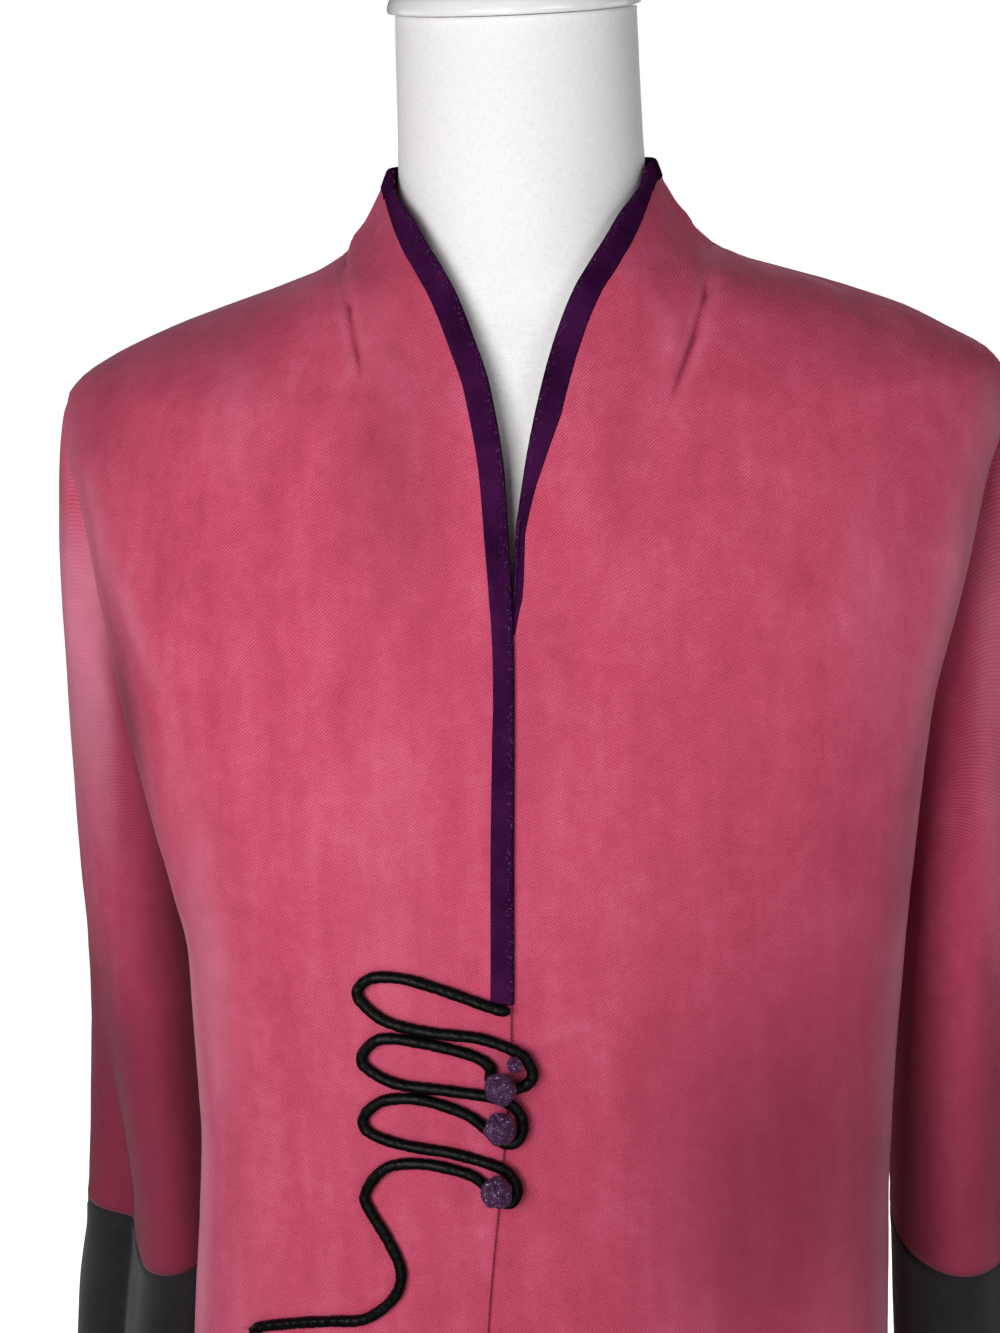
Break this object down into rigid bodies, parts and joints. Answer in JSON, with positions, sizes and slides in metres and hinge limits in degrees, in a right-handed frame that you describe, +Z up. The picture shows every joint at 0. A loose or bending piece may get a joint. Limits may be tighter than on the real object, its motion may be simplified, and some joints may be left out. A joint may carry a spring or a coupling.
{
  "type": "tang jacket on a dress form",
  "caption": "Open-collar rose tang jacket with cord frog and knot buttons, worn by a limbless dress form on a round base.",
  "frame": {"origin": "on the floor under the middle of the dress form, at the centre of the base's underside", "axes": "+Z up, the jacket's front faces -Y, the wearer's left is +X"},
  "size_m": [0.5298, 0.36, 1.5273],
  "materials": {
    "rose_twill": "sand-washed rose twill with a peach-skin nap, soft mottling and faint diagonal ribs",
    "charcoal_suede": "matt charcoal suede-like cloth",
    "purple_satin": "dark purple satin edge binding with fine glints",
    "black_satin_cord": "black satin rouleau cord with a soft sheen",
    "purple_knot": "purple corded ball knots",
    "white_linen": "fine white linen cover, matt",
    "white_enamel": "smooth glossy white",
    "steel": "brushed steel tube",
    "painted_steel": "satin white paint"
  },
  "bodies": {
    "root": {"front_right": "rose_twill", "front_left": "rose_twill", "back": "rose_twill", "sleeve_right": "rose_twill", "sleeve_left": "rose_twill", "cuff_band_right": "charcoal_suede", "cuff_band_left": "charcoal_suede", "binding_right": "purple_satin", "binding_left": "purple_satin", "binding_back": "purple_satin", "frog_cord": "black_satin_cord", "knot_button_1": "purple_knot", "knot_button_2": "purple_knot", "knot_button_3": "purple_knot", "knot_knob": "purple_knot", "form_torso": "white_linen", "form_neck_cap": "white_enamel", "form_pole": "steel", "form_base": "painted_steel"}
  },
  "joints": []
}
